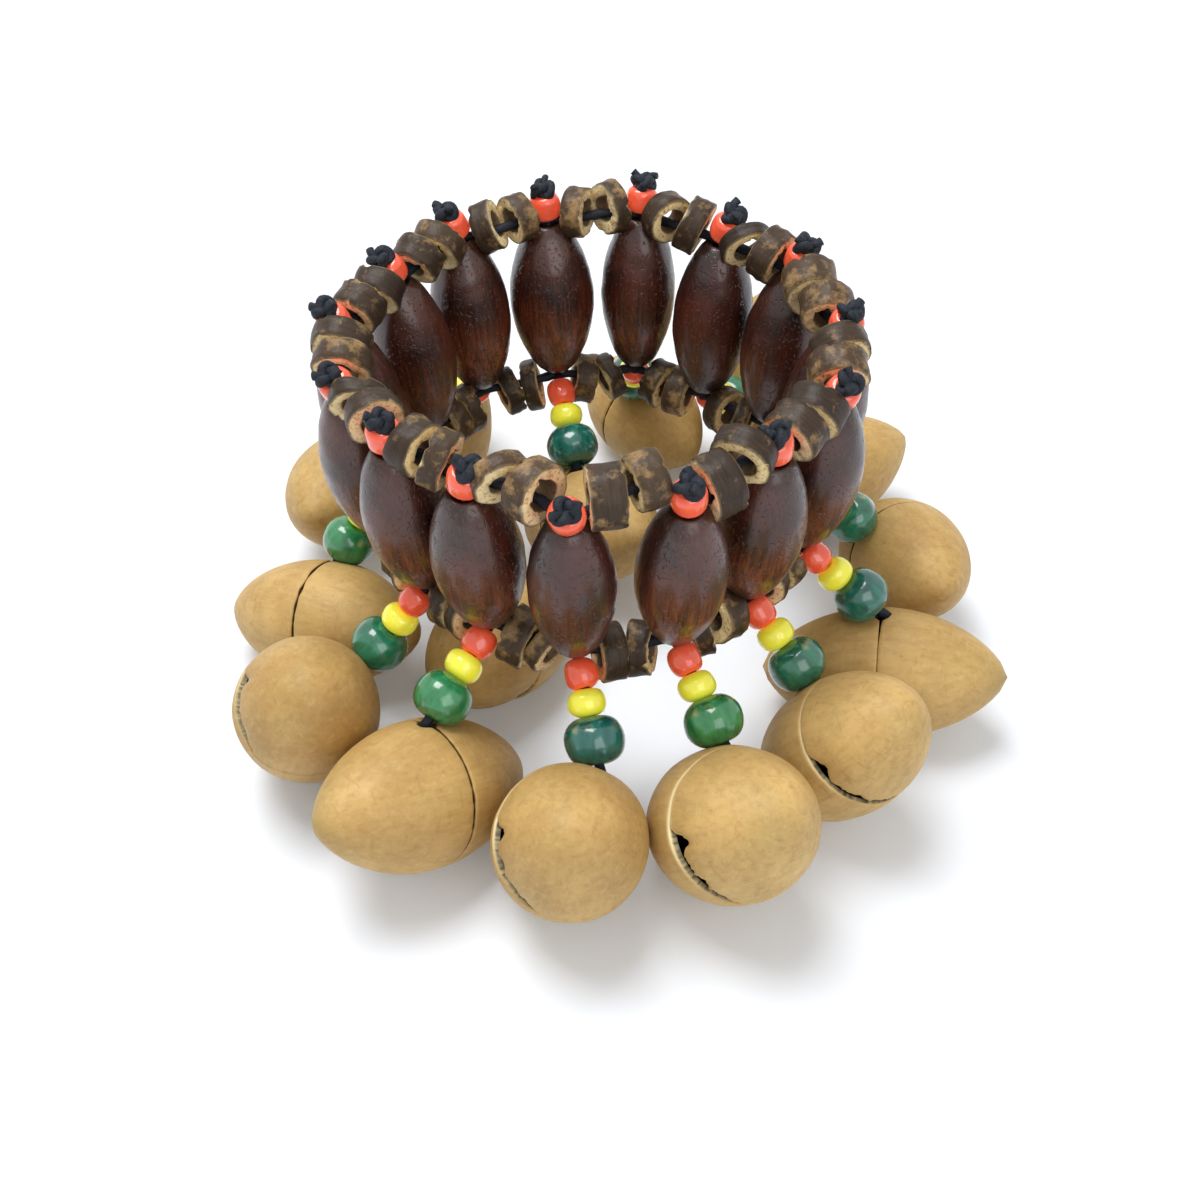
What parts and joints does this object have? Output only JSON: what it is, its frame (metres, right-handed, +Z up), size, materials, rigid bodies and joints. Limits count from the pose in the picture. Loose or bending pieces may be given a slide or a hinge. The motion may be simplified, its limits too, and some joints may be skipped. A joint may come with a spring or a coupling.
{
  "type": "nutshell shaker bracelet",
  "caption": "Wrist shaker: a band of dark wooden spindle beads between rings of coconut-shell tubes, with hollow nutshells on short bead strands below it that knock together.",
  "frame": {"origin": "centre of the box on the table that the nuts stand on", "axes": "+Z up along the axis of the ring, +Y along the longer side of the box, away from the viewer"},
  "size_m": [0.1104, 0.1146, 0.0587],
  "materials": {
    "lacquered_wood": "gloss lacquer",
    "coconut_shell": "satin",
    "stained_wood_and_glass": "gloss stain",
    "nutshell": "matte"
  },
  "bodies": {
    "band": {"spindle_bead_01": "lacquered_wood", "spindle_bead_02": "lacquered_wood", "spindle_bead_03": "lacquered_wood", "spindle_bead_04": "lacquered_wood", "spindle_bead_05": "lacquered_wood", "spindle_bead_06": "lacquered_wood", "spindle_bead_07": "lacquered_wood", "spindle_bead_08": "lacquered_wood", "spindle_bead_09": "lacquered_wood", "spindle_bead_10": "lacquered_wood", "spindle_bead_11": "lacquered_wood", "spindle_bead_12": "lacquered_wood", "spindle_bead_13": "lacquered_wood", "spindle_bead_14": "lacquered_wood", "spindle_bead_15": "lacquered_wood", "cord_link_01": "coconut_shell", "cord_link_02": "coconut_shell", "cord_link_03": "coconut_shell", "cord_link_04": "coconut_shell", "cord_link_05": "coconut_shell", "cord_link_06": "coconut_shell", "cord_link_07": "coconut_shell", "cord_link_08": "coconut_shell", "cord_link_09": "coconut_shell", "cord_link_10": "coconut_shell", "cord_link_11": "coconut_shell", "cord_link_12": "coconut_shell", "cord_link_13": "coconut_shell", "cord_link_14": "coconut_shell", "cord_link_15": "coconut_shell"},
    "strand_01": {"bead_strand_01": "stained_wood_and_glass"},
    "nut_01": {"nut_shell_01": "nutshell"},
    "strand_02": {"bead_strand_02": "stained_wood_and_glass"},
    "nut_02": {"nut_shell_02": "nutshell"},
    "strand_03": {"bead_strand_03": "stained_wood_and_glass"},
    "nut_03": {"nut_shell_03": "nutshell"},
    "strand_04": {"bead_strand_04": "stained_wood_and_glass"},
    "nut_04": {"nut_shell_04": "nutshell"},
    "strand_05": {"bead_strand_05": "stained_wood_and_glass"},
    "nut_05": {"nut_shell_05": "nutshell"},
    "strand_06": {"bead_strand_06": "stained_wood_and_glass"},
    "nut_06": {"nut_shell_06": "nutshell"},
    "strand_07": {"bead_strand_07": "stained_wood_and_glass"},
    "nut_07": {"nut_shell_07": "nutshell"},
    "strand_08": {"bead_strand_08": "stained_wood_and_glass"},
    "nut_08": {"nut_shell_08": "nutshell"},
    "strand_09": {"bead_strand_09": "stained_wood_and_glass"},
    "nut_09": {"nut_shell_09": "nutshell"},
    "strand_10": {"bead_strand_10": "stained_wood_and_glass"},
    "nut_10": {"nut_shell_10": "nutshell"},
    "strand_11": {"bead_strand_11": "stained_wood_and_glass"},
    "nut_11": {"nut_shell_11": "nutshell"},
    "strand_12": {"bead_strand_12": "stained_wood_and_glass"},
    "nut_12": {"nut_shell_12": "nutshell"},
    "strand_13": {"bead_strand_13": "stained_wood_and_glass"},
    "nut_13": {"nut_shell_13": "nutshell"},
    "strand_14": {"bead_strand_14": "stained_wood_and_glass"},
    "nut_14": {"nut_shell_14": "nutshell"},
    "strand_15": {"bead_strand_15": "stained_wood_and_glass"},
    "nut_15": {"nut_shell_15": "nutshell"}
  },
  "joints": [
    {"name": "strand_swing_01", "type": "hinge", "parent": "band", "child": "strand_01", "pos_m": [-0.00632, 0.03143, 0.027], "axis": [-0.9774, -0.2113, 0], "range_deg": [-39, 24]},
    {"name": "nut_nod_01", "type": "hinge", "parent": "strand_01", "child": "nut_01", "pos_m": [-0.00366, 0.01914, 0.0189], "axis": [-0.9774, -0.2113, 0], "range_deg": [-14, 24]},
    {"name": "strand_swing_02", "type": "hinge", "parent": "band", "child": "strand_02", "pos_m": [0.00583, 0.03252, 0.027], "axis": [-0.9998, -0.0209, 0], "range_deg": [-22, 21]},
    {"name": "nut_nod_02", "type": "hinge", "parent": "strand_02", "child": "nut_02", "pos_m": [0.0056, 0.04363, 0.01652], "axis": [-0.9998, -0.0209, 0], "range_deg": [-24, 7]},
    {"name": "strand_swing_03", "type": "hinge", "parent": "band", "child": "strand_03", "pos_m": [0.0158, 0.02553, 0.027], "axis": [0.831, -0.5563, 0], "range_deg": [0, 18]},
    {"name": "nut_nod_03", "type": "hinge", "parent": "strand_03", "child": "nut_03", "pos_m": [0.02228, 0.03521, 0.01761], "axis": [0.831, -0.5563, 0], "range_deg": [-4, 16]},
    {"name": "strand_swing_04", "type": "hinge", "parent": "band", "child": "strand_04", "pos_m": [0.02466, 0.0183, 0.027], "axis": [-0.5255, 0.8508, 0], "range_deg": [-7, 24]},
    {"name": "nut_nod_04", "type": "hinge", "parent": "strand_04", "child": "nut_04", "pos_m": [0.03489, 0.02462, 0.01749], "axis": [-0.5255, 0.8508, 0], "range_deg": [-10, 6]},
    {"name": "strand_swing_05", "type": "hinge", "parent": "band", "child": "strand_05", "pos_m": [0.02857, 0.00465, 0.027], "axis": [0.2453, -0.9694, 0], "range_deg": [-8, 28]},
    {"name": "nut_nod_05", "type": "hinge", "parent": "strand_05", "child": "nut_05", "pos_m": [0.03828, 0.00711, 0.01642], "axis": [0.2453, -0.9694, 0], "range_deg": [-24, 24]},
    {"name": "strand_swing_06", "type": "hinge", "parent": "band", "child": "strand_06", "pos_m": [0.02645, -0.0076, 0.027], "axis": [0.3714, 0.9285, 0], "range_deg": [-14, 58]},
    {"name": "nut_nod_06", "type": "hinge", "parent": "strand_06", "child": "nut_06", "pos_m": [0.0382, -0.0123, 0.01792], "axis": [0.3714, 0.9285, 0], "range_deg": [-24, 6]},
    {"name": "strand_swing_07", "type": "hinge", "parent": "band", "child": "strand_07", "pos_m": [0.01849, -0.01685, 0.027], "axis": [-0.6794, -0.7337, 0], "range_deg": [-4, 20]},
    {"name": "nut_nod_07", "type": "hinge", "parent": "strand_07", "child": "nut_07", "pos_m": [0.02691, -0.02464, 0.01792], "axis": [-0.6794, -0.7337, 0], "range_deg": [-8, 24]},
    {"name": "strand_swing_08", "type": "hinge", "parent": "band", "child": "strand_08", "pos_m": [0.00878, -0.02463, 0.027], "axis": [0.8934, 0.4493, 0], "range_deg": [-10, 6]},
    {"name": "nut_nod_08", "type": "hinge", "parent": "strand_08", "child": "nut_08", "pos_m": [0.01451, -0.03602, 0.01979], "axis": [0.8934, 0.4493, 0], "range_deg": [-24, 12]},
    {"name": "strand_swing_09", "type": "hinge", "parent": "band", "child": "strand_09", "pos_m": [-0.00379, -0.02627, 0.027], "axis": [-0.9774, -0.2113, 0], "range_deg": [-2, 16]},
    {"name": "nut_nod_09", "type": "hinge", "parent": "strand_09", "child": "nut_09", "pos_m": [-0.00122, -0.03818, 0.01817], "axis": [-0.9774, -0.2113, 0], "range_deg": [-6, 24]},
    {"name": "strand_swing_10", "type": "hinge", "parent": "band", "child": "strand_10", "pos_m": [-0.01472, -0.02093, 0.027], "axis": [0.7902, -0.6129, 0], "range_deg": [-1, 14]},
    {"name": "nut_nod_10", "type": "hinge", "parent": "strand_10", "child": "nut_10", "pos_m": [-0.02303, -0.03165, 0.02015], "axis": [0.7902, -0.6129, 0], "range_deg": [-9, 8]},
    {"name": "strand_swing_11", "type": "hinge", "parent": "band", "child": "strand_11", "pos_m": [-0.02335, -0.01355, 0.027], "axis": [-0.3371, 0.9415, 0], "range_deg": [-1, 26]},
    {"name": "nut_nod_11", "type": "hinge", "parent": "strand_11", "child": "nut_11", "pos_m": [-0.03303, -0.01701, 0.01561], "axis": [-0.3371, 0.9415, 0], "range_deg": [-4, 16]},
    {"name": "strand_swing_12", "type": "hinge", "parent": "band", "child": "strand_12", "pos_m": [-0.02923, -0.00383, 0.027], "axis": [-0.2368, 0.9715, 0], "range_deg": [-4, 4]},
    {"name": "nut_nod_12", "type": "hinge", "parent": "strand_12", "child": "nut_12", "pos_m": [-0.02032, -0.00166, 0.01463], "axis": [-0.2368, 0.9715, 0], "range_deg": [-12, 10]},
    {"name": "strand_swing_13", "type": "hinge", "parent": "band", "child": "strand_13", "pos_m": [-0.03082, 0.00807, 0.027], "axis": [-0.3778, 0.9259, 0], "range_deg": [-6, 4]},
    {"name": "nut_nod_13", "type": "hinge", "parent": "strand_13", "child": "nut_13", "pos_m": [-0.03896, 0.00475, 0.01446], "axis": [-0.3778, 0.9259, 0], "range_deg": [-24, 14]},
    {"name": "strand_swing_14", "type": "hinge", "parent": "band", "child": "strand_14", "pos_m": [-0.02473, 0.0186, 0.027], "axis": [-0.6401, -0.7683, 0], "range_deg": [-1, 30]},
    {"name": "nut_nod_14", "type": "hinge", "parent": "strand_14", "child": "nut_14", "pos_m": [-0.03296, 0.02546, 0.01644], "axis": [-0.6401, -0.7683, 0], "range_deg": [-3, 24]},
    {"name": "strand_swing_15", "type": "hinge", "parent": "band", "child": "strand_15", "pos_m": [-0.01759, 0.02794, 0.027], "axis": [0.832, 0.5548, 0], "range_deg": [0, 12]},
    {"name": "nut_nod_15", "type": "hinge", "parent": "strand_15", "child": "nut_15", "pos_m": [-0.02414, 0.03776, 0.01919], "axis": [0.832, 0.5548, 0], "range_deg": [-2, 24]}
  ]
}
